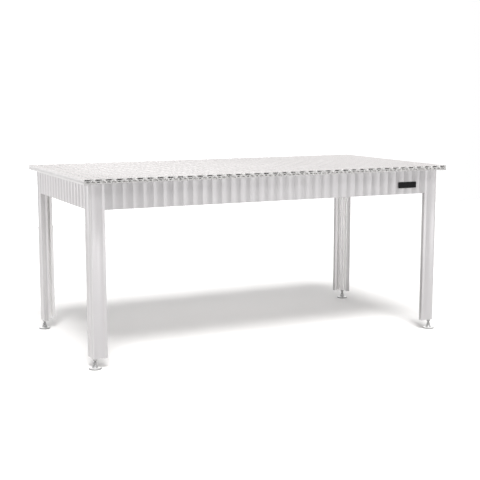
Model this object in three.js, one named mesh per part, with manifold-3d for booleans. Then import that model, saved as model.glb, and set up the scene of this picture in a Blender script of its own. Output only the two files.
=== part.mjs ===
// Aluminium assembly table: T-slotted plank top, fluted aprons, L-shaped legs and levelling feet.
// Millimetres, +Z up, front towards -Y, origin on the floor under the middle of the top.
import * as THREE from "three";
import { mergeVertices } from "three/addons/utils/BufferGeometryUtils.js";
import Module from "manifold-3d";

const wasm = await Module();
wasm.setup();

// Overall sizes
const TABLE_HEIGHT = 890;
const TOP_LENGTH = 1990;
const TOP_DEPTH = 1000;
const FRAME_INSET = 33;
const LEG_CLEAR_OF_FLOOR = 50;

// Grid of slots and flutes
const GRID = 50;
const SLOTS_PER_PLANK = 5;
const LEAST_EDGE_MARGIN = 30;

// Section shared by planks, aprons and legs
const PROFILE_THICKNESS = 24.5;
const SLOT_MOUTH = 12;
const SLOT_WIDTH = 23;
const SLOT_LIP = 11.5;
const SLOT_HEIGHT = 7;
const FLUTE_DEPTH = 2.6;
const CUSP_LAND = 1;
const CHAMBER_WIDTH = 30;
const CHAMBER_HEIGHT = 6.2;
const CHAMBER_ROOF = 1.8;
const LOW_CHAMBER_WIDTH = 16;
const LOW_CHAMBER_HEIGHT = 5;
const LOW_CHAMBER_ROOF = 11.5;

// Plank joints and side edges
const SEAM = 0.3;
const TONGUE_LENGTH = 4;
const TONGUE_HEIGHT = 2;
const TONGUE_ROOF = 18.2;
const TONGUE_CLEARANCE = 0.3;
const EDGE_GROOVE_DEPTH = 2.5;
const EDGE_GROOVE_HEIGHT = 5;

// Aprons and legs
const APRON_HEIGHT = 121.5;
const LEG_WIDTH = 75;
const LEG_POST = 34;
const LEG_CORNER_RADIUS = 9;
const BUTT_GAP = 0.3;

// Corner brackets and support angles
const SHEET = 4;
const SEAT_GAP = 0.2;
const BRACKET_REACH = 140;
const BRACKET_FLANGE = 62;
const BRACKET_POST_GAP = 2;
const ANGLE_WIDTH = 32;
const ANGLE_BOLT_SPAN = 10;

// Screws with T-nuts
const SCREW_DIAMETER = 8;
const SCREW_HOLE = 9;
const SCREW_HEAD_DIAMETER = 14;
const SCREW_HEAD_HEIGHT = 5;
const NUT_SIDE = 19;
const NUT_THICKNESS = 4;

// Levelling feet
const STUD_DIAMETER = 12;
const STUD_IN_LEG = 65;
const CORE_CLEARANCE = 0.5;
const LOCK_NUT_ACROSS_FLATS = 19;
const LOCK_NUT_HEIGHT = 10;
const STUD_HEX_ACROSS_FLATS = 17;
const STUD_HEX_HEIGHT = 6.5;
const BALL_DIAMETER = 14;
const BALL_HEIGHT = 15;
const BALL_CLEARANCE = 0.4;
const NECK_DIAMETER = 8;
const NECK_TO_HEX = 7.5;
const PAD_DIAMETER = 60;
const PAD_RIM = 4;
const PAD_CONE_TOP = 10;
const HUB_DIAMETER = 22;
const HUB_TOP = 20;
const HUB_TAPER = 2;
const EDGE_CHAMFER = 1;

// Plate on the front apron
const PLATE_WIDTH = 110;
const PLATE_HEIGHT = 32;
const PLATE_THICKNESS = 2.5;
const PLATE_CORNER = 4;
const PLATE_FROM_LEG = 60;
const PLATE_ABOVE_APRON_EDGE = 32;

// Fineness of curves, and how far joined shapes run into each other
const FLUTE_STEPS = 4;
const CORNER_STEPS = 3;
const CURVE_STEPS = 5;
const BALL_STEPS = 4;
const SCREW_SIDES = 6;
const HEAD_SIDES = 6;
const HOLE_SIDES = 8;
const STUD_SIDES = 10;
const PAD_SIDES = 14;
const JOIN_DEPTH = 1;
const SAME_PLACE = 0.05;
const SAME_VERTEX = 1e-4;

// Derived places
const linesX = gridLines(TOP_LENGTH);
const linesY = gridLines(TOP_DEPTH);
const plankCount = Math.floor((linesX.length - 2) / SLOTS_PER_PLANK);
const endSlots = Math.floor((linesX.length - plankCount * SLOTS_PER_PLANK) / 2);
const underTop = TABLE_HEIGHT - PROFILE_THICKNESS;
const slotDepth = SLOT_LIP + SLOT_HEIGHT;
const halfX = TOP_LENGTH / 2 - FRAME_INSET;
const halfY = TOP_DEPTH / 2 - FRAME_INSET;
const innerX = halfX - PROFILE_THICKNESS;
const innerY = halfY - PROFILE_THICKNESS;
const footX = halfX - LEG_POST / 2;
const footY = halfY - LEG_POST / 2;
const legSlot = (LEG_POST + LEG_WIDTH) / 2;

const finishes = {
  aluminium: { color: 0xc8cacb, roughness: 0.45, metalness: 0.85 },
  steel: { color: 0x8d8f91, roughness: 0.35, metalness: 0.9 },
  plate: { color: 0x1c1d1f, roughness: 0.4, metalness: 0.1 },
};

// Grid lines that fit along a length, spread evenly about its middle
function gridLines(length) {
  const count = Math.floor((length - 2 * LEAST_EDGE_MARGIN) / GRID) + 1;
  return Array.from({ length: count }, (_, i) => (i - (count - 1) / 2) * GRID);
}

function shapeOf(points) {
  return new THREE.Shape(points.map(([x, y]) => new THREE.Vector2(x, y)));
}

function extrude(shape, depth) {
  return new THREE.ExtrudeGeometry(shape, { depth, bevelEnabled: false, curveSegments: CURVE_STEPS });
}

function solid(geometry) {
  const bare = geometry.clone();
  bare.deleteAttribute("normal");
  bare.deleteAttribute("uv");
  const merged = mergeVertices(bare, SAME_VERTEX);
  const mesh = new wasm.Mesh({
    numProp: 3,
    vertProperties: new Float32Array(merged.attributes.position.array),
    triVerts: new Uint32Array(merged.index.array),
  });
  return new wasm.Manifold(mesh);
}

function geometryOf(body) {
  const mesh = body.getMesh();
  const geometry = new THREE.BufferGeometry();
  geometry.setAttribute("position", new THREE.BufferAttribute(mesh.vertProperties, 3));
  geometry.setIndex(new THREE.BufferAttribute(mesh.triVerts, 1));
  return geometry.toNonIndexed();
}

function join(...geometries) {
  return geometryOf(geometries.map(solid).reduce((sum, body) => sum.add(body)));
}

function cut(geometry, tools) {
  return geometryOf(tools.map(solid).reduce((rest, tool) => rest.subtract(tool), solid(geometry)));
}

function addMesh(parent, name, geometry, finish) {
  const mesh = new THREE.Mesh(geometry, new THREE.MeshStandardMaterial(finishes[finish]));
  mesh.name = name;
  mesh.geometry.computeVertexNormals();
  parent.add(mesh);
  return mesh;
}

// Points of one T-slot, left to right, on a face at height 0
function slotPoints(middle) {
  const mouth = SLOT_MOUTH / 2;
  const wide = SLOT_WIDTH / 2;
  return [
    [middle - mouth, 0],
    [middle - mouth, -SLOT_LIP],
    [middle - wide, -SLOT_LIP],
    [middle - wide, -slotDepth],
    [middle + wide, -slotDepth],
    [middle + wide, -SLOT_LIP],
    [middle + mouth, -SLOT_LIP],
    [middle + mouth, 0],
  ];
}

// Hollow of the fluted face at a place along it, 0 on the cusps and past the last one
function fluteAt(place, lines) {
  const half = (GRID - CUSP_LAND) / 2;
  const last = lines[lines.length - 1];
  if (Math.abs(place) >= last) return 0;
  const offset = (place - last) / GRID;
  const fromMiddle = (offset - Math.floor(offset) - 0.5) * GRID;
  return Math.max(0, FLUTE_DEPTH * (1 - (fromMiddle / half) ** 2));
}

// Points of the fluted face from one place to another, as place and hollow
function flutePoints(from, to, lines) {
  const half = (GRID - CUSP_LAND) / 2;
  const places = [from, to];
  for (const line of lines.slice(0, -1)) {
    for (let step = 0; step <= FLUTE_STEPS; step++) {
      places.push(line + GRID / 2 + half * ((2 * step) / FLUTE_STEPS - 1));
    }
  }
  return places
    .filter((place) => place >= from && place <= to)
    .sort((a, b) => a - b)
    .filter((place, i, all) => i === 0 || place - all[i - 1] > SAME_PLACE)
    .map((place) => [place, fluteAt(place, lines)]);
}

// Step into an edge at a depth below the slotted face; outward is a tongue, inward a groove
function edgeStep(side, reach, roof, height) {
  return [
    [side, -roof],
    [side + reach, -roof],
    [side + reach, -roof - height],
    [side, -roof - height],
  ];
}

// Seam edge of a plank: two half chambers and a tongue or groove, facing along the sign
function seamEdge(side, sign, reach, roof, height) {
  return [
    ...edgeStep(side, (-sign * CHAMBER_WIDTH) / 2, CHAMBER_ROOF, CHAMBER_HEIGHT),
    ...edgeStep(side, (-sign * LOW_CHAMBER_WIDTH) / 2, LOW_CHAMBER_ROOF, LOW_CHAMBER_HEIGHT),
    ...edgeStep(side, reach, roof, height),
  ];
}

function tongueEdge(side) {
  return seamEdge(side, 1, TONGUE_LENGTH, TONGUE_ROOF, TONGUE_HEIGHT);
}

function grooveEdge(side) {
  const depth = TONGUE_LENGTH - SEAM + TONGUE_CLEARANCE;
  const height = TONGUE_HEIGHT + 2 * TONGUE_CLEARANCE;
  return seamEdge(side, -1, depth, TONGUE_ROOF - TONGUE_CLEARANCE, height);
}

// Outer edge of the top or of a leg's wing, with one groove along its middle
function outerEdge(side, sign) {
  const roof = (PROFILE_THICKNESS - EDGE_GROOVE_HEIGHT) / 2;
  return edgeStep(side, -sign * EDGE_GROOVE_DEPTH, roof, EDGE_GROOVE_HEIGHT);
}

// Section with slots on the upper face and flutes on the lower one
function profileShape(from, to, lines, leftEdge = [], rightEdge = []) {
  const slots = lines.filter((line) => line - SLOT_WIDTH > from && line + SLOT_WIDTH < to);
  const flutes = flutePoints(from, to, lines);
  const below = flutes.map(([place, hollow]) => [place, hollow - PROFILE_THICKNESS]);
  return shapeOf([
    [from, 0],
    ...slots.flatMap(slotPoints),
    [to, 0],
    ...rightEdge,
    ...below.reverse(),
    ...leftEdge.reverse(),
  ]);
}

function rectangle(left, right, low, high) {
  return [
    [left, low],
    [right, low],
    [right, high],
    [left, high],
  ];
}

function chamberTool(middle, width, roof, height) {
  const tool = new THREE.BoxGeometry(width, height, 2 * TOP_DEPTH);
  return tool.translate(middle, -roof - height / 2, TOP_DEPTH / 2);
}

// One plank of the top between two places along the front, with chambers between its slots
function plankGeometry(from, to, leftEdge, rightEdge) {
  const bar = extrude(profileShape(from, to, linesX, leftEdge, rightEdge), TOP_DEPTH);
  const middles = [linesX[0] - GRID / 2, ...linesX.map((line) => line + GRID / 2)];
  const half = CHAMBER_WIDTH / 2;
  const inside = middles.filter((middle) => middle - half > from && middle + half < to);
  const chambers = inside.flatMap((middle) => [
    chamberTool(middle, CHAMBER_WIDTH, CHAMBER_ROOF, CHAMBER_HEIGHT),
    chamberTool(middle, LOW_CHAMBER_WIDTH, LOW_CHAMBER_ROOF, LOW_CHAMBER_HEIGHT),
  ]);
  const geometry = cut(bar, chambers);
  return geometry.rotateX(Math.PI / 2).translate(0, TOP_DEPTH / 2, TABLE_HEIGHT);
}

function buildTop() {
  const top = new THREE.Group();
  top.name = "top";
  const edge = TOP_LENGTH / 2;
  const firstSeam = linesX[endSlots] - GRID / 2;
  const lastSeam = firstSeam + plankCount * SLOTS_PER_PLANK * GRID;
  for (let i = 0; i < plankCount; i++) {
    const from = firstSeam + i * SLOTS_PER_PLANK * GRID + SEAM / 2;
    const to = from + SLOTS_PER_PLANK * GRID - SEAM;
    const plank = plankGeometry(from, to, grooveEdge(from), tongueEdge(to));
    addMesh(top, `top_plank_${i + 1}`, plank, "aluminium");
  }
  const leftTo = firstSeam - SEAM / 2;
  const left = plankGeometry(-edge, leftTo, outerEdge(-edge, -1), tongueEdge(leftTo));
  addMesh(top, "end_plank_left", left, "aluminium");
  const rightFrom = lastSeam + SEAM / 2;
  const right = plankGeometry(rightFrom, edge, grooveEdge(rightFrom), outerEdge(edge, 1));
  addMesh(top, "end_plank_right", right, "aluminium");
  return top;
}

// Fluted panels between the legs, slots facing inwards
function buildAprons() {
  const aprons = new THREE.Group();
  aprons.name = "aprons";
  const sides = [
    ["apron_front", halfX, innerY, linesX, 0],
    ["apron_rear", halfX, innerY, linesX, Math.PI],
    ["apron_left", halfY, innerX, linesY, -Math.PI / 2],
    ["apron_right", halfY, innerX, linesY, Math.PI / 2],
  ];
  for (const [name, half, inner, lines, turn] of sides) {
    const reach = half - LEG_WIDTH - BUTT_GAP;
    const geometry = extrude(profileShape(-reach, reach, lines), APRON_HEIGHT);
    geometry.translate(0, -inner, underTop - APRON_HEIGHT);
    geometry.rotateZ(turn);
    addMesh(aprons, name, geometry, "aluminium");
  }
  return aprons;
}

// Leg of the rear right corner: one wing's outline from the corner to the post
function wingPoints(half, lines) {
  const outer = flutePoints(half - LEG_WIDTH, half - LEG_CORNER_RADIUS, lines).reverse();
  const slot = slotPoints(legSlot).reverse();
  return [
    ...outer.map(([place, hollow]) => [half - place, hollow]),
    ...outerEdge(LEG_WIDTH, 1).map(([along, depth]) => [along, -depth]),
    [LEG_WIDTH, PROFILE_THICKNESS],
    ...slot.map(([along, depth]) => [along, PROFILE_THICKNESS + depth]),
    [LEG_POST, PROFILE_THICKNESS],
  ];
}

function legGeometry() {
  const alongX = wingPoints(halfX, linesX).map(([p, q]) => [halfX - p, halfY - q]);
  const alongY = wingPoints(halfY, linesY).map(([p, q]) => [halfX - q, halfY - p]);
  const round = Array.from({ length: CORNER_STEPS - 1 }, (_, i) => {
    const angle = (Math.PI / 2) * (1 - (i + 1) / CORNER_STEPS);
    const insetX = LEG_CORNER_RADIUS * (1 - Math.cos(angle));
    const insetY = LEG_CORNER_RADIUS * (1 - Math.sin(angle));
    return [halfX - insetX, halfY - insetY];
  });
  const corner = [halfX - LEG_POST, halfY - LEG_POST];
  const shape = shapeOf([...alongX, corner, ...alongY.reverse(), ...round.reverse()]);
  const core = new THREE.Path();
  core.absarc(footX, footY, STUD_DIAMETER / 2 + CORE_CLEARANCE, 0, 2 * Math.PI);
  shape.holes.push(core);
  const geometry = extrude(shape, underTop - LEG_CLEAR_OF_FLOOR);
  geometry.translate(0, 0, LEG_CLEAR_OF_FLOOR);
  return geometry;
}

// Screw with its T-nut, pointing along +Z from the face under its head
function screwGeometry(grip) {
  const radius = SCREW_DIAMETER / 2;
  const headRadius = SCREW_HEAD_DIAMETER / 2;
  const nutFrom = grip + SEAT_GAP + SLOT_LIP + SEAT_GAP;
  const shankFrom = -SEAT_GAP - JOIN_DEPTH;
  const shankTo = nutFrom + JOIN_DEPTH;
  const head = new THREE.CylinderGeometry(headRadius, headRadius, SCREW_HEAD_HEIGHT, HEAD_SIDES);
  head.rotateX(Math.PI / 2).translate(0, 0, -SEAT_GAP - SCREW_HEAD_HEIGHT / 2);
  const shank = new THREE.CylinderGeometry(radius, radius, shankTo - shankFrom, SCREW_SIDES);
  shank.rotateX(Math.PI / 2).translate(0, 0, (shankFrom + shankTo) / 2);
  const nut = new THREE.BoxGeometry(NUT_SIDE, NUT_SIDE, NUT_THICKNESS);
  nut.translate(0, 0, nutFrom + NUT_THICKNESS / 2);
  return join(head, shank, nut);
}

// Drill for a screw hole through the sheet, along Y
function holeTool() {
  return new THREE.CylinderGeometry(SCREW_HOLE / 2, SCREW_HOLE / 2, 4 * SHEET, HOLE_SIDES);
}

// Places of the bracket's screws along one side: the leg's slot and the apron's first full one
function bracketScrews(half, lines) {
  const apronLine = lines.filter((line) => line + SLOT_WIDTH < half - LEG_WIDTH).pop();
  return [half - legSlot, apronLine];
}

// Bracket of the rear right corner: a flat plate round the post and two flanges bent down
function bracketGeometry(screwsX, screwsY, screwZ) {
  const x = innerX - SEAT_GAP;
  const y = innerY - SEAT_GAP;
  const notch = LEG_POST + BRACKET_POST_GAP;
  const reachX = halfX - BRACKET_REACH;
  const reachY = halfY - BRACKET_REACH;
  const outline = [
    [halfX - notch, halfY - notch],
    [halfX - notch, y],
    [reachX, y],
    [reachX, y - SHEET],
    [x - SHEET, reachY],
    [x, reachY],
    [x, halfY - notch],
  ];
  const plate = extrude(shapeOf(outline), SHEET);
  plate.translate(0, 0, underTop - SEAT_GAP - SHEET);
  const drop = underTop - SEAT_GAP - BRACKET_FLANGE;
  const flangeX = extrude(shapeOf(rectangle(reachX, halfX - notch, y - SHEET, y)), BRACKET_FLANGE);
  flangeX.translate(0, 0, drop);
  const flangeY = extrude(shapeOf(rectangle(x - SHEET, x, reachY, halfY - notch)), BRACKET_FLANGE);
  flangeY.translate(0, 0, drop);
  const holesX = screwsX.map((place) => holeTool().translate(place, y, screwZ));
  const holesY = screwsY.map((place) => holeTool().rotateZ(Math.PI / 2).translate(x, place, screwZ));
  return cut(join(plate, flangeX, flangeY), [...holesX, ...holesY]);
}

function buildCorners(corners) {
  const frame = new THREE.Group();
  frame.name = "corner_frames";
  const screwsX = bracketScrews(halfX, linesX);
  const screwsY = bracketScrews(halfY, linesY);
  const screwZ = underTop - SEAT_GAP - (BRACKET_FLANGE + SHEET) / 2;
  const leg = legGeometry();
  const bracket = bracketGeometry(screwsX, screwsY, screwZ);
  const screw = screwGeometry(SHEET);
  const labels = ["leg", "apron"];
  for (const [corner, sx, sy] of corners) {
    addMesh(frame, `leg_${corner}`, leg.clone(), "aluminium").scale.set(sx, sy, 1);
    addMesh(frame, `corner_bracket_${corner}`, bracket.clone(), "aluminium").scale.set(sx, sy, 1);
    screwsX.forEach((place, i) => {
      const placed = screw.clone().rotateX(-Math.PI / 2);
      placed.translate(place, innerY - SEAT_GAP - SHEET, screwZ);
      addMesh(frame, `screw_long_${labels[i]}_${corner}`, placed, "steel").scale.set(sx, sy, 1);
    });
    screwsY.forEach((place, i) => {
      const placed = screw.clone().rotateY(Math.PI / 2);
      placed.translate(innerX - SEAT_GAP - SHEET, place, screwZ);
      addMesh(frame, `screw_short_${labels[i]}_${corner}`, placed, "steel").scale.set(sx, sy, 1);
    });
  }
  return frame;
}

// Angles along the long aprons that carry the planks
function buildAngles() {
  const angles = new THREE.Group();
  angles.name = "support_angles";
  const reach = halfX - BRACKET_REACH - BUTT_GAP;
  const face = innerY - SEAT_GAP;
  const high = underTop - SEAT_GAP;
  const middle = Math.floor(linesX.length / 2);
  const places = [-1, 0, 1].map((i) => linesX[middle + i * ANGLE_BOLT_SPAN]);
  const screwZ = high - (ANGLE_WIDTH + SHEET) / 2;
  const section = shapeOf([
    [face, high],
    [face, high - ANGLE_WIDTH],
    [face - SHEET, high - ANGLE_WIDTH],
    [face - SHEET, high - SHEET],
    [face - ANGLE_WIDTH, high - SHEET],
    [face - ANGLE_WIDTH, high],
  ]);
  const bar = extrude(section, 2 * reach);
  bar.rotateX(Math.PI / 2).rotateZ(Math.PI / 2).translate(-reach, 0, 0);
  const holes = places.map((place) => holeTool().translate(place, face, screwZ));
  const drilled = cut(bar, holes);
  for (const [side, sy] of [["front", -1], ["rear", 1]]) {
    addMesh(angles, `support_angle_${side}`, drilled.clone(), "aluminium").scale.set(1, sy, 1);
    places.forEach((place, i) => {
      const placed = screwGeometry(SHEET).rotateX(-Math.PI / 2).translate(place, face - SHEET, screwZ);
      addMesh(angles, `angle_screw_${side}_${i + 1}`, placed, "steel").scale.set(1, sy, 1);
    });
  }
  return angles;
}

function hexagon(acrossFlats) {
  const radius = acrossFlats / Math.sqrt(3);
  const turns = Array.from({ length: 6 }, (_, i) => (i * Math.PI) / 3);
  return turns.map((turn) => [radius * Math.cos(turn), radius * Math.sin(turn)]);
}

function lathe(points, sides) {
  const outline = points.map(([r, z]) => new THREE.Vector2(r, z));
  return new THREE.LatheGeometry(outline, sides).rotateX(Math.PI / 2);
}

// Arc of a ball from one height to another, as radius and height about its middle
function arc(radius, fromHeight, toHeight, steps) {
  const from = Math.asin(fromHeight / radius);
  const to = Math.asin(toHeight / radius);
  return Array.from({ length: steps + 1 }, (_, i) => {
    const angle = from + ((to - from) * i) / steps;
    return [Math.max(0, radius * Math.cos(angle)), radius * Math.sin(angle)];
  });
}

function lockNutGeometry() {
  const shape = shapeOf(hexagon(LOCK_NUT_ACROSS_FLATS));
  const bore = new THREE.Path();
  bore.absarc(0, 0, STUD_DIAMETER / 2 + CORE_CLEARANCE, 0, 2 * Math.PI);
  shape.holes.push(bore);
  return extrude(shape, LOCK_NUT_HEIGHT);
}

// Stud with its ball end and spanner hexagon, heights measured from the ball's middle
function studGeometry() {
  const ball = BALL_DIAMETER / 2;
  const neck = NECK_DIAMETER / 2;
  const stud = STUD_DIAMETER / 2;
  const hexTop = NECK_TO_HEX + STUD_HEX_HEIGHT;
  const end = LEG_CLEAR_OF_FLOOR - BALL_HEIGHT + STUD_IN_LEG;
  const neckStart = Math.sqrt(ball ** 2 - neck ** 2);
  const outline = [
    [0, -ball],
    ...arc(ball, -ball, neckStart, BALL_STEPS).slice(1),
    [neck, NECK_TO_HEX + JOIN_DEPTH],
    [stud, NECK_TO_HEX + JOIN_DEPTH],
    [stud, end - EDGE_CHAMFER],
    [stud - EDGE_CHAMFER, end],
    [0, end],
  ];
  const hex = extrude(shapeOf(hexagon(STUD_HEX_ACROSS_FLATS)), hexTop - NECK_TO_HEX);
  hex.translate(0, 0, NECK_TO_HEX);
  return join(lathe(outline, STUD_SIDES), hex);
}

// Pad with the socket for the ball, heights measured from the ball's middle
function padGeometry() {
  const socket = BALL_DIAMETER / 2 + BALL_CLEARANCE;
  const pad = PAD_DIAMETER / 2;
  const hub = HUB_DIAMETER / 2;
  const mouth = HUB_TOP - BALL_HEIGHT;
  const outline = [
    [0, -BALL_HEIGHT],
    [pad - EDGE_CHAMFER, -BALL_HEIGHT],
    [pad, EDGE_CHAMFER - BALL_HEIGHT],
    [pad, PAD_RIM - BALL_HEIGHT],
    [hub + HUB_TAPER, PAD_CONE_TOP - BALL_HEIGHT],
    [hub, mouth],
    ...arc(socket, mouth, -socket, BALL_STEPS),
  ];
  outline[outline.length - 1][0] = 0;
  return lathe(outline, PAD_SIDES);
}

function buildFeet(corners) {
  const feet = new THREE.Group();
  feet.name = "feet";
  for (const [corner, sx, sy] of corners) {
    const foot = new THREE.Group();
    foot.name = `foot_${corner}`;
    foot.position.set(sx * footX, sy * footY, 0);
    const nut = addMesh(foot, `lock_nut_${corner}`, lockNutGeometry(), "steel");
    nut.position.z = LEG_CLEAR_OF_FLOOR - SEAT_GAP - LOCK_NUT_HEIGHT;
    addMesh(foot, `foot_stud_${corner}`, studGeometry(), "steel").position.z = BALL_HEIGHT;
    addMesh(foot, `foot_pad_${corner}`, padGeometry(), "steel").position.z = BALL_HEIGHT;
    feet.add(foot);
  }
  return feet;
}

// Bare plate resting on the cusps of the front apron
function buildPlate() {
  const w = PLATE_WIDTH / 2 - PLATE_CORNER;
  const h = PLATE_HEIGHT / 2 - PLATE_CORNER;
  const shape = new THREE.Shape();
  shape.absarc(w, h, PLATE_CORNER, 0, Math.PI / 2);
  shape.absarc(-w, h, PLATE_CORNER, Math.PI / 2, Math.PI);
  shape.absarc(-w, -h, PLATE_CORNER, Math.PI, 1.5 * Math.PI);
  shape.absarc(w, -h, PLATE_CORNER, 1.5 * Math.PI, 2 * Math.PI);
  const geometry = extrude(shape, PLATE_THICKNESS);
  const x = halfX - LEG_WIDTH - PLATE_FROM_LEG - PLATE_WIDTH / 2;
  const z = underTop - APRON_HEIGHT + PLATE_ABOVE_APRON_EDGE + PLATE_HEIGHT / 2;
  geometry.rotateX(Math.PI / 2).translate(x, -halfY - SEAT_GAP, z);
  const plate = new THREE.Group();
  plate.name = "front_plate";
  addMesh(plate, "name_plate", geometry, "plate");
  return plate;
}

const corners = [
  ["front_left", -1, -1],
  ["front_right", 1, -1],
  ["rear_left", -1, 1],
  ["rear_right", 1, 1],
];

const table = new THREE.Group();
table.name = "assembly_table";
table.add(buildTop(), buildAprons(), buildCorners(corners));
table.add(buildAngles(), buildFeet(corners), buildPlate());

export default table;
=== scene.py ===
import math

import bpy
import numpy as np
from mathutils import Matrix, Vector


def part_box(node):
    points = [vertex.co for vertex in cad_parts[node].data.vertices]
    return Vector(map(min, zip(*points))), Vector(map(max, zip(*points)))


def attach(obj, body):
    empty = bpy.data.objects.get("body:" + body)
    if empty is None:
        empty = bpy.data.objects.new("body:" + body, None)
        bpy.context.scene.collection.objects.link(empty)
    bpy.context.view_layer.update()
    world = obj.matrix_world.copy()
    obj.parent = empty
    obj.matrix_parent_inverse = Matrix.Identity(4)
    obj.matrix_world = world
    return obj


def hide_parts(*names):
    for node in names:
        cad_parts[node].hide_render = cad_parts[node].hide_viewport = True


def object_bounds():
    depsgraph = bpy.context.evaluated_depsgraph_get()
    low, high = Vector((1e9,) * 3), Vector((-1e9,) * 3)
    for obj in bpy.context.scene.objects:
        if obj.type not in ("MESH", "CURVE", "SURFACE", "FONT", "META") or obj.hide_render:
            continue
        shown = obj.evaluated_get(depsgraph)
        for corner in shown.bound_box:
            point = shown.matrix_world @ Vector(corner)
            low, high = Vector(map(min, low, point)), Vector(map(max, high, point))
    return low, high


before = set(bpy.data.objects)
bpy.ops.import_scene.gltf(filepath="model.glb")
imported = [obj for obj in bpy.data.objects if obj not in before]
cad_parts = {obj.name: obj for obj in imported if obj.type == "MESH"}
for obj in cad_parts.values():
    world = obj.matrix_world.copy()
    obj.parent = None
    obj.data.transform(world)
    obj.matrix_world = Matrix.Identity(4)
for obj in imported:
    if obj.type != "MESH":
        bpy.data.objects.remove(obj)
cad_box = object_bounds()

# Sizes of the table from the frame, in metres
HALF_LENGTH, HALF_WIDTH, TOP_HEIGHT = cad_box[1]

# Bounds of the looks on a plank and in a T-slot, in metres
GRID = 0.050
TOP_SKIN = 0.0015
PROFILE_DEPTH = 0.0244
SLOT_START = 0.0002
SLOT_LIP = 0.0114
SLOT_DEPTH = 0.0186
SLOT_HALF_WIDTH = 0.0116
EDGE_DEPTH = 0.0027

# Bounds of the looks on a leg, in metres from the outer sides of the table
LEG_CORNER = 0.0415
LEG_INNER = 0.0575
LEG_SLOT = 0.0875
LEG_END = 0.1079
LEG_GROOVE = 0.1053

# Least cosine at which a face counts as facing along an axis, facing up or leaning inward
FACING = 0.9
FACING_UP = 0.5
LEANING = 0.6

# Shading: widest angle that is smoothed, and when two faces or two vertices count as one
CREASE_DEGREES = 7.5
STEEL_CREASE_DEGREES = 30
SAME_PLANE = 0.99999
STEPS_PER_METRE = 1e5
SHORTEST_NORMAL = 1e-12

# Feet, in millimetres, with outlines as pairs of radius and height
MM = 0.001
PAD_OUTLINE = (
    (29.0, 0.0), (29.8, 0.6), (30.0, 1.6), (30.0, 2.6), (29.6, 3.4), (28.6, 4.4), (27.0, 5.1),
    (24.0, 5.9), (19.0, 7.4), (15.0, 9.0), (12.6, 11.0), (11.5, 13.4), (11.0, 16.0), (11.0, 18.8),
    (10.5, 19.7), (9.6, 20.0), (6.4, 20.0), (5.6, 19.7), (6.6, 18.4), (7.3, 16.6), (7.4, 15.0),
    (6.8, 12.0), (4.4, 9.0), (1.0, 7.7),
)
# Pad heights below which it is painted dark, as a rubber sole and painted shade, and above which it takes
# the hub's steel
SOLE_HEIGHT = 4.8
HUB_HEIGHT = 8.5
BALL_OUTLINE = (
    (1.5, 8.15), (3.6, 9.0), (5.6, 10.8), (6.8, 13.4), (7.0, 15.0), (6.7, 17.0), (5.6, 19.2),
    (4.2, 20.6), (4.0, 21.4), (4.0, 22.6),
)
NUT_FLATS = 19
NUT_LOW = 39.8
NUT_HIGH = 49.8
NUT_CHAMFER = 1.4
NUT_BORE = 6.3
HEXAGON_FLATS = 17
HEXAGON_LOW = 22.5
HEXAGON_HIGH = 29
HEXAGON_CHAMFER = 1.2
THREAD_RADIUS = 6
THREAD_LOW = 28.9
THREAD_HIGH = 114.5
THREAD_PITCH = 1.75
THREAD_DEPTH = 0.9

# Corners of the table that have a foot, and the fineness of the drawn feet
CORNERS = ("front_left", "front_right", "rear_left", "rear_right")
TURNED_SIDES = 48
THREAD_SIDES = 20
RINGS_PER_PITCH = 4
CHAMFER_STEPS = 4
END_FACE_SHARE = 0.97

# Texture of the metals: streaks, clouds, colour, gloss and relief
STREAK_SCALE = 1.0
STREAK_DETAIL = 4.0
STREAK_SHARE = 0.65
CLOUD_SCALE = 3.0
CLOUD_DETAIL = 3.0
CLOUD_SHARE = 0.35
RAMP_START = 0.3
RAMP_END = 0.7
GLOSS_SPREAD = 0.06
DRAWN_SPREAD = 0.012
RELIEF_DEPTH = 0.0004
DRAWN_RELIEF = 0.012
SAWN_RELIEF = 0.03

# Noise scales along X, Y and Z, low along the streaks
ALONG_Y = (900, 6, 900)
ALONG_Z = (900, 900, 6)
ALONG_LEG = (900, 900, 5)
SAW_MARKS = (700, 60, 700)
PLATE_STREAKS = (900, 900, 40)
FINE_GRAIN = (900, 900, 900)
STEEL_GRAIN = (500, 500, 500)
BRACKET_GRAIN = (300, 300, 300)

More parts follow.
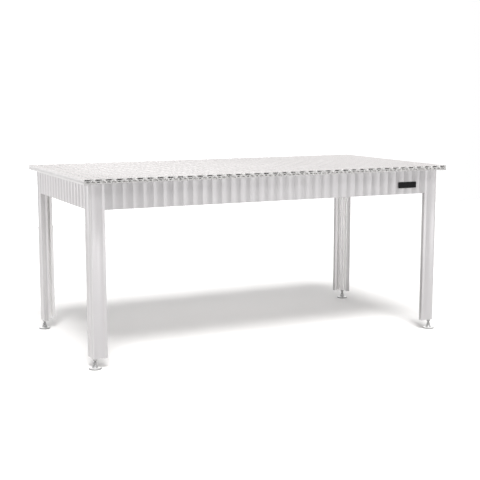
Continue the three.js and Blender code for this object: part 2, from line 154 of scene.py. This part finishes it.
# Looks: material name, base colour, roughness, metallic, noise scales, colour spread, relief if not drawn
LOOKS = {
    "plank": ("plank_aluminium", (0.545, 0.523, 0.520), 0.70, 0.25, ALONG_Y, DRAWN_SPREAD),
    "panel": ("apron_aluminium", (0.412, 0.404, 0.410), 0.33, 0.6, ALONG_Z, DRAWN_SPREAD),
    # Legs: a lighter copy of the aprons' aluminium, painted light for the brighter light on the lower
    # legs
    "leg": ("leg_aluminium", (0.468, 0.458, 0.465), 0.32, 0.6, ALONG_LEG, DRAWN_SPREAD),
    # Outer sides, corners and inward faces of the legs: lighter copies of the legs' aluminium, painted
    # light for how light falls on each facing
    "flank": ("flank_aluminium", (0.53, 0.518, 0.525), 0.34, 0.7, ALONG_LEG, DRAWN_SPREAD),
    "corner": ("corner_aluminium", (0.54, 0.53, 0.533), 0.40, 0.7, ALONG_LEG, DRAWN_SPREAD),
    "inner": ("inner_aluminium", (0.685, 0.675, 0.68), 0.40, 0.55, ALONG_LEG, DRAWN_SPREAD),
    "cheek": ("cheek_aluminium", (0.92, 0.915, 0.91), 0.40, 0.35, ALONG_LEG, DRAWN_SPREAD),
    # Side aprons: a lighter copy of the front and rear aprons' aluminium, painted light for how light
    # falls on the short sides
    "side": ("side_apron_aluminium", (0.505, 0.488, 0.494), 0.32, 0.8, ALONG_Z, DRAWN_SPREAD),
    "sawn": ("sawn_aluminium", (0.41, 0.405, 0.40), 0.50, 0.6, SAW_MARKS, 0.04, SAWN_RELIEF),
    # Side edges of the top and grooves of the legs: lighter copies of the aluminium, painted light for
    # how light falls there
    "edge": ("edge_aluminium", (0.605, 0.593, 0.593), 0.40, 0.7, ALONG_Y, DRAWN_SPREAD),
    "groove": ("groove_aluminium", (0.53, 0.525, 0.52), 0.45, 0.7, FINE_GRAIN, DRAWN_SPREAD),
    # T-slot floors and the insides of slots and hollows: lighter copies of the aluminium, near white and
    # unmetallic in the slots, painted light for these shaded recesses
    "undercut": ("undercut_aluminium", (0.52, 0.51, 0.505), 0.60, 0.3, ALONG_Y, 0.01),
    "slot": ("slot_aluminium", (0.96, 0.955, 0.95), 0.60, 0.0, FINE_GRAIN, 0.01),
    "bracket": ("bracket_aluminium", (0.70, 0.70, 0.70), 0.40, 1.0, BRACKET_GRAIN, 0.05),
    # Pad: its disc painted lighter than the hub's steel as a painted highlight, its sole dark as rubber
    # and painted shade along the bottom edge
    "pad": ("pad_steel", (0.78, 0.775, 0.77), 0.35, 0.5, STEEL_GRAIN, 0.03),
    "sole": ("sole_rubber", (0.26, 0.26, 0.262), 0.5, 0.3, STEEL_GRAIN, 0.05),
    "steel": ("foot_steel", (0.36, 0.36, 0.36), 0.32, 1.0, STEEL_GRAIN, 0.06),
    "screw": ("screw_steel", (0.62, 0.62, 0.62), 0.32, 1.0, STEEL_GRAIN, 0.06),
    "plate": ("plate_black", (0.016, 0.016, 0.017), 0.45, 1.0, PLATE_STREAKS, 0.2),
}

# Look of each node, by the first start of its name that fits; profiles also take the shared looks. Apart
# from the sawn ends, the shared looks and the side aprons' look are lighter or darker copies of the
# aluminium: painted light and shade
PROFILE_LOOKS = {
    "top_plank": "plank", "end_plank": "plank", "apron_front": "panel", "apron_rear": "panel",
    "apron": "side", "leg_": "leg",
}
OTHER_LOOKS = {
    "corner_bracket": "bracket", "support_angle": "bracket", "screw": "screw", "angle_screw": "screw",
    "lock_nut": "steel", "foot_": "steel", "name_plate": "plate",
}
SHARED_LOOKS = ("sawn", "slot", "undercut", "flank", "corner", "inner", "cheek", "edge", "groove")
DRAWN, SAWN, SLOT, UNDERCUT, FLANK, CORNER, INNER, CHEEK, EDGE, GROOVE = range(10)

# Looks of a pad, by number: the disc painted light as a highlight, the sole dark as rubber and painted
# shade, and the hub in the foot's steel
PAD_LOOKS = ("pad", "sole", "steel")
PAD_DISC, PAD_SOLE, PAD_HUB = range(3)

# Floor: size in metres, colour, and a little glow where it is seen or mirrored
FLOOR_SIZE = 60.0
FLOOR_BACK = 4.5
FLOOR_COLOUR = (0.812, 0.802, 0.795)
FLOOR_GLOW = 0.06

# World: level at the horizon and its slope, a panel at the back, a share overhead and a lower limit
HORIZON_LEVEL = 0.72
HORIZON_SLOPE = (0.0, 0.22, 0.0)
PANEL_DIRECTION = (0.10, 0.995, 0.0)
PANEL_START = 0.8
PANEL_LEVEL = 1.0
FADE_START = 0.1
FADE_END = 0.7
ZENITH_SHARE = 0.80
LOWEST_LIGHT = -0.22

# Sun: direction towards it, strength and angle in degrees
KEY_DIRECTION = (-0.18, -0.58, 1.0)
KEY_STRENGTH = 3.1
KEY_ANGLE = 22.0

# Beams on the legs: name, degrees to the right of straight in front, target in metres and watts
LEG_BEAMS = (
    ("rear_right_leg_beam", -31, (0.93, 0.45, 0.2), 175),
    ("front_left_leg_beam", 14, (-0.93, -0.46, 0.15), 60),
    ("left_leg_side_beam", 32, (-0.93, -0.46, 0.2), 30),
    ("front_right_leg_beam", 22, (0.93, -0.46, 0.17), 38),
)
LEG_BEAM_REACH = 6.0
LEG_BEAM_HALF_SIZE = (0.20, 0.54)

# Beam over the left of the top, in metres and watts
TOP_BEAM_PLACE = (-3.3328, 0.0, 1.6665)
TOP_BEAM_TARGET = (-0.435, 0.0, 0.89)
TOP_BEAM_HALF_SIZE = (0.80, 0.15)
TOP_BEAM_WATTS = 85

# Radius of the lamp in metres and soft edge of the cone, for every beam
BEAM_RADIUS = 0.06
BEAM_BLEND = 0.5

# Softboxes: name, place, target and size in metres, watts and spread in degrees
SOFTBOXES = (
    ("front_softbox", (1.4, -3.0, 0.9), (-0.6, -0.45, 0.8), (1.0, 1.4), 2.0, 90),
    ("rear_softbox", (2.4, 2.6, 0.50), (-0.2, 0.45, 0.72), (0.8, 0.6), 0.7, 60),
)

# Camera of the photograph: metres, radians, and millimetres for the sensor and the lens
CAMERA_PLACE = (-2.3208, -4.8769, 1.2982)
CAMERA_YAW = 0.44762
CAMERA_PITCH = 0.14931
CAMERA_FAR = 200
SENSOR_WIDTH = 36.0
FOCAL_LENGTH = 75.98


def new_material(name):
    material = bpy.data.materials.new(name)
    material.use_nodes = True
    return material, material.node_tree.nodes, material.node_tree.links


def math_node(nodes, links, operation, *values):
    """Math node that takes sockets or plain numbers."""
    node = nodes.new("ShaderNodeMath")
    node.operation = operation
    for socket, value in zip(node.inputs, values):
        if isinstance(value, bpy.types.NodeSocket):
            links.new(value, socket)
        else:
            socket.default_value = value
    return node.outputs[0]


def dot_product(nodes, links, vector, direction):
    node = nodes.new("ShaderNodeVectorMath")
    node.operation = "DOT_PRODUCT"
    node.inputs[1].default_value = direction
    links.new(vector, node.inputs[0])
    return node.outputs["Value"]


def map_range(nodes, links, value, source, target, interpolation="LINEAR"):
    """Maps the range from source's first to second number onto target's."""
    node = nodes.new("ShaderNodeMapRange")
    node.interpolation_type = interpolation
    for side, (least, most) in (("From", source), ("To", target)):
        node.inputs[f"{side} Min"].default_value = least
        node.inputs[f"{side} Max"].default_value = most
    links.new(value, node.inputs["Value"])
    return node.outputs[0]


def noise(nodes, links, vector, scale, detail):
    node = nodes.new("ShaderNodeTexNoise")
    node.inputs["Scale"].default_value = scale
    node.inputs["Detail"].default_value = detail
    links.new(vector, node.inputs["Vector"])
    return node.outputs[0]


def ramp(nodes, links, source, low, high):
    """Colour ramp between two colours."""
    node = nodes.new("ShaderNodeValToRGB")
    stops = node.color_ramp.elements
    for stop, position, colour in ((stops[0], RAMP_START, low), (stops[1], RAMP_END, high)):
        stop.position = position
        stop.color = (*colour, 1)
    links.new(source, node.inputs[0])
    return node.outputs[0]


def seen_rays(nodes, links):
    """1 for camera, glossy and transmission rays, 0 for the rest."""
    rays = nodes.new("ShaderNodeLightPath").outputs
    mirrored = math_node(nodes, links, "MAXIMUM", rays["Is Glossy Ray"], rays["Is Transmission Ray"])
    return math_node(nodes, links, "MAXIMUM", rays["Is Camera Ray"], mirrored)


def metal(name, colour, roughness, metallic, scales, spread, relief=DRAWN_RELIEF):
    """Drawn, sawn or turned surface: fine streaks in colour, gloss and relief, and soft clouds."""
    material, nodes, links = new_material(name)
    shader = nodes["Principled BSDF"]
    shader.inputs["Metallic"].default_value = metallic
    place = nodes.new("ShaderNodeTexCoord").outputs["Object"]
    stretch = nodes.new("ShaderNodeMapping")
    stretch.inputs["Scale"].default_value = scales
    links.new(place, stretch.inputs["Vector"])
    streaks = noise(nodes, links, stretch.outputs[0], STREAK_SCALE, STREAK_DETAIL)
    clouds = noise(nodes, links, place, CLOUD_SCALE, CLOUD_DETAIL)
    weighted = math_node(nodes, links, "MULTIPLY", streaks, STREAK_SHARE)
    mixed = math_node(nodes, links, "MULTIPLY_ADD", clouds, CLOUD_SHARE, weighted)
    low = tuple(c * (1 - spread) for c in colour)
    high = tuple(min(1, c * (1 + spread)) for c in colour)
    links.new(ramp(nodes, links, mixed, low, high), shader.inputs["Base Color"])
    gloss = (roughness - GLOSS_SPREAD, roughness + GLOSS_SPREAD)
    links.new(map_range(nodes, links, mixed, (0, 1), gloss), shader.inputs["Roughness"])
    bump = nodes.new("ShaderNodeBump")
    bump.inputs["Strength"].default_value = relief
    bump.inputs["Distance"].default_value = RELIEF_DEPTH
    links.new(streaks, bump.inputs["Height"])
    links.new(bump.outputs[0], shader.inputs["Normal"])
    return material


def smooth_by_angle(obj, degrees):
    """Rounds the shading over shallow edges and keeps the steeper ones crisp, vertices untouched."""
    mesh = obj.data
    loops = len(mesh.loops)
    places = np.zeros(len(mesh.vertices) * 3, np.float32)
    mesh.vertices.foreach_get("co", places)
    keys = np.round(places.reshape(-1, 3) * STEPS_PER_METRE).astype(np.int64)
    _, shared = np.unique(keys, axis=0, return_inverse=True)
    shared = shared.reshape(-1)
    corner_vertex = np.zeros(loops, np.int64)
    mesh.loops.foreach_get("vertex_index", corner_vertex)
    faces = len(mesh.polygons)
    normals = np.zeros(faces * 3)
    mesh.polygons.foreach_get("normal", normals)
    normals = normals.reshape(-1, 3)
    sizes = np.zeros(faces, np.int64)
    mesh.polygons.foreach_get("loop_total", sizes)
    corner_face = np.repeat(np.arange(faces), sizes)
    corner_key = shared[corner_vertex]
    order = np.argsort(corner_key, kind="stable")
    starts = np.flatnonzero(np.r_[True, np.diff(corner_key[order]) > 0])
    limit = math.cos(math.radians(degrees))
    result = np.zeros((loops, 3))
    for group in np.split(order, starts[1:]):
        around = normals[corner_face[group]]
        turns = around @ around.T
        copies = (turns > SAME_PLANE).sum(axis=1)
        result[group] = (turns >= limit) @ (around / copies[:, None])
    lengths = np.linalg.norm(result, axis=1, keepdims=True)
    result = np.where(lengths > 0, result / np.maximum(lengths, SHORTEST_NORMAL), normals[corner_face])
    mesh.polygons.foreach_set("use_smooth", np.ones(faces, bool))
    mesh.normals_split_custom_set(result.tolist())


def paint(mesh, materials):
    mesh.materials.clear()
    for material in materials:
        mesh.materials.append(material)


def from_line(places):
    """Distance from the nearest slot line of the grid."""
    return np.abs((places + GRID / 2) % GRID - GRID / 2)


def in_slot(along, depth):
    """Faces of a T-slot, by distance from the slot's middle and depth below the slotted face."""
    return (along < SLOT_HALF_WIDTH) & (depth > SLOT_START) & (depth < SLOT_DEPTH)


def plank_looks(middles, normals, looks):
    x, _, z = np.abs(middles.T)
    depth = TOP_HEIGHT - z
    slots = in_slot(from_line(x), depth)
    # Painted light: faces between the top skin and the underside, the slots and hollows, take the
    # near-white slot look, and the T-slot floors a lighter copy, for the light in these shaded recesses
    looks[(depth > TOP_SKIN) & (depth < PROFILE_DEPTH)] = SLOT
    looks[slots & (depth > SLOT_LIP) & (normals[:, 2] > FACING_UP)] = UNDERCUT
    # Painted light: the top's side edges take a lighter copy of the plank's aluminium
    looks[HALF_LENGTH - x < EDGE_DEPTH] = EDGE
    looks[np.abs(normals[:, 1]) > FACING] = SAWN


def leg_looks(middles, normals, looks):
    x, y, _ = np.abs(middles.T)
    from_x_side, from_y_side = HALF_LENGTH - x, HALF_WIDTH - y
    inward = -np.sign(middles[:, :2]) * normals[:, :2]
    # Painted light and shade: by facing and place the legs' faces take lighter copies of the aluminium,
    # outer sides, corners and inward faces, with the slots near white and the grooves lighter
    looks[inward[:, 0] < -FACING] = FLANK
    looks[(from_x_side < LEG_CORNER) & (from_y_side < LEG_CORNER)] = CORNER
    looks[inward[:, 1] > LEANING] = INNER
    looks[inward[:, 0] > LEANING] = CHEEK
    looks[in_slot(np.abs(from_x_side - LEG_SLOT), LEG_INNER - from_y_side)] = SLOT
    looks[in_slot(np.abs(from_y_side - LEG_SLOT), LEG_INNER - from_x_side)] = SLOT
    looks[(from_x_side > LEG_GROOVE) | (from_y_side > LEG_GROOVE)] = GROOVE
    looks[(from_x_side > LEG_END) | (from_y_side > LEG_END)] = DRAWN
    looks[np.abs(normals[:, 2]) > FACING] = SAWN


def apron_looks(_, normals, looks):
    looks[np.abs(normals[:, 2]) > FACING] = SAWN


def dress_profile(profile, mesh):
    """Tells the drawn, sawn and slotted faces of a profile apart, and gives some faces lighter or darker
    copies of the aluminium by facing and place: painted light and shade.
    """
    sort_faces = {"plank": plank_looks, "leg": leg_looks}.get(profile, apron_looks)
    middles = np.zeros(len(mesh.polygons) * 3)
    mesh.polygons.foreach_get("center", middles)
    normals = np.zeros(len(mesh.polygons) * 3)
    mesh.polygons.foreach_get("normal", normals)
    looks = np.full(len(mesh.polygons), DRAWN, np.int32)
    sort_faces(middles.reshape(-1, 3), normals.reshape(-1, 3), looks)
    mesh.polygons.foreach_set("material_index", looks)


def first_match(name, looks):
    return next((look for start, look in looks.items() if name.startswith(start)), None)


def dress_nodes(materials):
    for name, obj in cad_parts.items():
        profile = first_match(name, PROFILE_LOOKS)
        if profile:
            paint(obj.data, [materials[look] for look in (profile, *SHARED_LOOKS)])
            dress_profile(profile, obj.data)
            smooth_by_angle(obj, CREASE_DEGREES)
        else:
            paint(obj.data, [materials[first_match(name, OTHER_LOOKS)]])
            smooth_by_angle(obj, STEEL_CREASE_DEGREES)


def ring_mesh(name, rings, capped=True):
    """Closed mesh through rings of points, capped at both ends or joined from last ring to first."""
    sides = len(rings[0])
    vertices = [point for ring in rings for point in ring]
    faces = []
    for i in range(len(rings) - 1 if capped else len(rings)):
        low, high = i * sides, (i + 1) % len(rings) * sides
        for j in range(sides):
            k = (j + 1) % sides
            faces.append((low + j, low + k, high + k, high + j))
    if capped:
        last = (len(rings) - 1) * sides
        faces.append(tuple(reversed(range(sides))))
        faces.append(tuple(range(last, last + sides)))
    mesh = bpy.data.meshes.new(name)
    mesh.from_pydata(vertices, [], faces)
    mesh.update()
    return mesh


def circle_ring(radius, height):
    turns = [2 * math.pi * j / TURNED_SIDES for j in range(TURNED_SIDES)]
    return [(radius * math.cos(t), radius * math.sin(t), height) for t in turns]


def hex_ring(across_flats, limit, height):
    """Hexagon with its corners turned down to a limit radius."""
    ring = []
    for j in range(TURNED_SIDES):
        turn = 2 * math.pi * j / TURNED_SIDES
        flat = across_flats / 2 / math.cos((turn % (math.pi / 3)) - math.pi / 6)
        radius = min(flat, limit)
        ring.append((radius * math.cos(turn), radius * math.sin(turn), height))
    return ring


def hexagon_rings(across_flats, low, high, chamfer):
    """Rings of a hexagon with chamfered corners at both ends."""
    corner = across_flats / math.sqrt(3)
    flat = across_flats / 2
    rings = [hex_ring(across_flats, flat * END_FACE_SHARE, low)]
    for i in range(CHAMFER_STEPS + 1):
        limit = flat + (corner - flat) * i / CHAMFER_STEPS
        rings.append(hex_ring(across_flats, limit, low + chamfer * i / CHAMFER_STEPS))
    for i in range(CHAMFER_STEPS, -1, -1):
        limit = flat + (corner - flat) * i / CHAMFER_STEPS
        rings.append(hex_ring(across_flats, limit, high - chamfer * i / CHAMFER_STEPS))
    rings.append(hex_ring(across_flats, flat * END_FACE_SHARE, high))
    return rings


def thread_rings(radius, low, high, pitch, depth):
    """Rings of a screw thread, one turn of the ridge per pitch."""
    rings = []
    steps = int((high - low) / pitch * RINGS_PER_PITCH)
    for i in range(steps + 1):
        height = low + (high - low) * i / steps
        ring = []
        for j in range(THREAD_SIDES):
            turn = 2 * math.pi * j / THREAD_SIDES
            phase = (height / pitch - j / THREAD_SIDES) % 1
            r = radius - depth * abs(2 * phase - 1)
            ring.append((r * math.cos(turn), r * math.sin(turn), height))
        rings.append(ring)
    return rings


def turned_mesh(name, outline):
    """Smooth turned piece from its outline in millimetres."""
    mesh = ring_mesh(name, [circle_ring(r * MM, z * MM) for r, z in outline])
    mesh.polygons.foreach_set("use_smooth", np.ones(len(mesh.polygons), bool))
    return mesh


def pad_mesh(materials):
    """Turned pad: its disc painted lighter than its steel hub as a painted highlight, and a darker sole
    of rubber and painted shade.
    """
    mesh = turned_mesh("foot_pad", PAD_OUTLINE)
    paint(mesh, [materials[look] for look in PAD_LOOKS])
    heights = np.array([polygon.center.z for polygon in mesh.polygons])
    looks = np.full(len(heights), PAD_DISC, np.int32)
    # Painted shade and highlight: a dark band at the bottom, the disc light, the hub in steel
    looks[heights < SOLE_HEIGHT * MM] = PAD_SOLE
    looks[heights > HUB_HEIGHT * MM] = PAD_HUB
    mesh.polygons.foreach_set("material_index", looks)
    return mesh


def nut_mesh():
    """Chamfered hexagon round a plain bore."""
    outside = hexagon_rings(NUT_FLATS * MM, NUT_LOW * MM, NUT_HIGH * MM, NUT_CHAMFER * MM)
    bore = [circle_ring(NUT_BORE * MM, height * MM) for height in (NUT_HIGH, NUT_LOW)]
    return ring_mesh("lock_nut", outside + bore, capped=False)


def hexagon_mesh():
    """Hexagon at the foot of the stud."""
    sizes = (HEXAGON_FLATS, HEXAGON_LOW, HEXAGON_HIGH, HEXAGON_CHAMFER)
    return ring_mesh("stud_hexagon", hexagon_rings(*[size * MM for size in sizes]))


def thread_mesh():
    """Thread of the stud."""
    sizes = (THREAD_RADIUS, THREAD_LOW, THREAD_HIGH, THREAD_PITCH, THREAD_DEPTH)
    return ring_mesh("stud_thread", thread_rings(*[size * MM for size in sizes]))


def foot_piece(name, mesh, place, body, node=None):
    obj = bpy.data.objects.new(name, mesh)
    bpy.context.collection.objects.link(obj)
    obj.location = place
    if node:
        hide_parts(node)
    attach(obj, body)


def build_feet(materials):
    """Turned pads, chamfered nuts and threaded studs in place of the plain solids."""
    pad = pad_mesh(materials)
    nut = nut_mesh()
    ball = turned_mesh("stud_ball", BALL_OUTLINE)
    hexagon = hexagon_mesh()
    thread = thread_mesh()
    for mesh in (nut, ball, hexagon, thread):
        paint(mesh, [materials["steel"]])
    for corner in CORNERS:
        low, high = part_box(f"foot_pad_{corner}")
        place = ((low[0] + high[0]) / 2, (low[1] + high[1]) / 2, 0)
        foot_piece(f"turned_pad_{corner}", pad, place, f"pad_{corner}", f"foot_pad_{corner}")
        foot_piece(f"chamfered_nut_{corner}", nut, place, f"nut_{corner}", f"lock_nut_{corner}")
        foot_piece(f"threaded_stud_{corner}", thread, place, f"stud_{corner}", f"foot_stud_{corner}")
        foot_piece(f"stud_ball_{corner}", ball, place, f"stud_{corner}")
        foot_piece(f"stud_hexagon_{corner}", hexagon, place, f"stud_{corner}")


def floor_material():
    """Matte floor that keeps its shadow and glows a little where it is seen or mirrored."""
    material, nodes, links = new_material("pale_floor")
    nodes.remove(nodes["Principled BSDF"])
    diffuse = nodes.new("ShaderNodeBsdfDiffuse")
    diffuse.inputs["Color"].default_value = (*FLOOR_COLOUR, 1)
    glow = nodes.new("ShaderNodeEmission")
    strength = math_node(nodes, links, "MULTIPLY", seen_rays(nodes, links), FLOOR_GLOW)
    links.new(strength, glow.inputs["Strength"])
    both = nodes.new("ShaderNodeAddShader")
    links.new(diffuse.outputs[0], both.inputs[0])
    links.new(glow.outputs[0], both.inputs[1])
    links.new(both.outputs[0], nodes["Material Output"].inputs["Surface"])
    return material


def build_floor():
    half = FLOOR_SIZE / 2
    corners = [(-half, -half, 0), (half, -half, 0), (half, FLOOR_BACK, 0), (-half, FLOOR_BACK, 0)]
    mesh = bpy.data.meshes.new("floor")
    mesh.from_pydata(corners, [], [(0, 1, 2, 3)])
    floor = bpy.data.objects.new("floor", mesh)
    bpy.context.collection.objects.link(floor)
    paint(mesh, [floor_material()])


def studio_level(nodes, links):
    """Level that rises to the back, with a panel there, fades overhead and ends below the horizon."""
    place = nodes.new("ShaderNodeTexCoord").outputs["Generated"]
    slope = dot_product(nodes, links, place, HORIZON_SLOPE)
    horizon = math_node(nodes, links, "ADD", slope, HORIZON_LEVEL)
    facing = dot_product(nodes, links, place, PANEL_DIRECTION)
    panel = map_range(nodes, links, facing, (PANEL_START, 1), (0, PANEL_LEVEL), "SMOOTHSTEP")
    around = math_node(nodes, links, "ADD", horizon, panel)
    split = nodes.new("ShaderNodeSeparateXYZ")
    links.new(place, split.inputs[0])
    height = split.outputs["Z"]
    fade = map_range(nodes, links, height, (FADE_START, FADE_END), (1, ZENITH_SHARE), "SMOOTHSTEP")
    above = math_node(nodes, links, "GREATER_THAN", height, LOWEST_LIGHT)
    share = math_node(nodes, links, "MULTIPLY", fade, above)
    return math_node(nodes, links, "MULTIPLY", around, share)


def build_world():
    """Studio that is at least white where it is seen or mirrored, and lights the rest by its level."""
    world = bpy.data.worlds.new("studio")
    bpy.context.scene.world = world
    world.use_nodes = True
    nodes, links = world.node_tree.nodes, world.node_tree.links
    background = nodes["Background"]
    background.inputs["Color"].default_value = (1, 1, 1, 1)
    strength = math_node(nodes, links, "MAXIMUM", seen_rays(nodes, links), studio_level(nodes, links))
    links.new(strength, background.inputs["Strength"])


def add_lamp(name, kind, energy, ray):
    """Lamp that shines along a ray."""
    lamp = bpy.data.lights.new(name, kind)
    lamp.energy = energy
    obj = bpy.data.objects.new(name, lamp)
    bpy.context.collection.objects.link(obj)
    obj.rotation_euler = ray.to_track_quat("-Z", "Y").to_euler()
    return lamp, obj


def key_light():
    lamp, _ = add_lamp("key_light", "SUN", KEY_STRENGTH, -Vector(KEY_DIRECTION))
    lamp.angle = math.radians(KEY_ANGLE)


def beam(name, place, target, half_size, watts):
    """Spot with an oval cone, as wide and as high at its target as twice the half size."""
    ray = Vector(target) - Vector(place)
    lamp, obj = add_lamp(name, "SPOT", watts, ray)
    lamp.shadow_soft_size = BEAM_RADIUS
    lamp.spot_blend = BEAM_BLEND
    lamp.spot_size = 2 * math.atan(half_size[0] / ray.length)
    obj.visible_camera = False
    obj.location = place
    obj.scale = (1.0, half_size[1] / half_size[0], 1.0)


def softbox(name, place, target, size, watts, spread_degrees):
    lamp, obj = add_lamp(name, "AREA", watts, Vector(target) - Vector(place))
    lamp.shape = "RECTANGLE"
    lamp.size, lamp.size_y = size
    lamp.spread = math.radians(spread_degrees)
    obj.visible_camera = False
    obj.location = place


def build_lights():
    key_light()
    for name, degrees, target, watts in LEG_BEAMS:
        turn = math.radians(degrees)
        x = target[0] + LEG_BEAM_REACH * math.sin(turn)
        y = target[1] - LEG_BEAM_REACH * math.cos(turn)
        beam(name, (x, y, target[2]), target, LEG_BEAM_HALF_SIZE, watts)
    beam("top_left_beam", TOP_BEAM_PLACE, TOP_BEAM_TARGET, TOP_BEAM_HALF_SIZE, TOP_BEAM_WATTS)
    for settings in SOFTBOXES:
        softbox(*settings)


def build_camera():
    camera = bpy.data.cameras.new("photo_camera")
    camera.sensor_fit = "HORIZONTAL"
    camera.sensor_width = SENSOR_WIDTH
    camera.lens = FOCAL_LENGTH
    camera.clip_end = CAMERA_FAR
    obj = bpy.data.objects.new("photo_camera", camera)
    bpy.context.collection.objects.link(obj)
    obj.location = CAMERA_PLACE
    obj.rotation_euler = (math.pi / 2 - CAMERA_PITCH, 0, -CAMERA_YAW)
    bpy.context.scene.camera = obj


materials = {key: metal(*look) for key, look in LOOKS.items()}
dress_nodes(materials)
build_feet(materials)
build_floor()
build_world()
build_lights()
build_camera()
bpy.context.scene.view_settings.view_transform = "Standard"
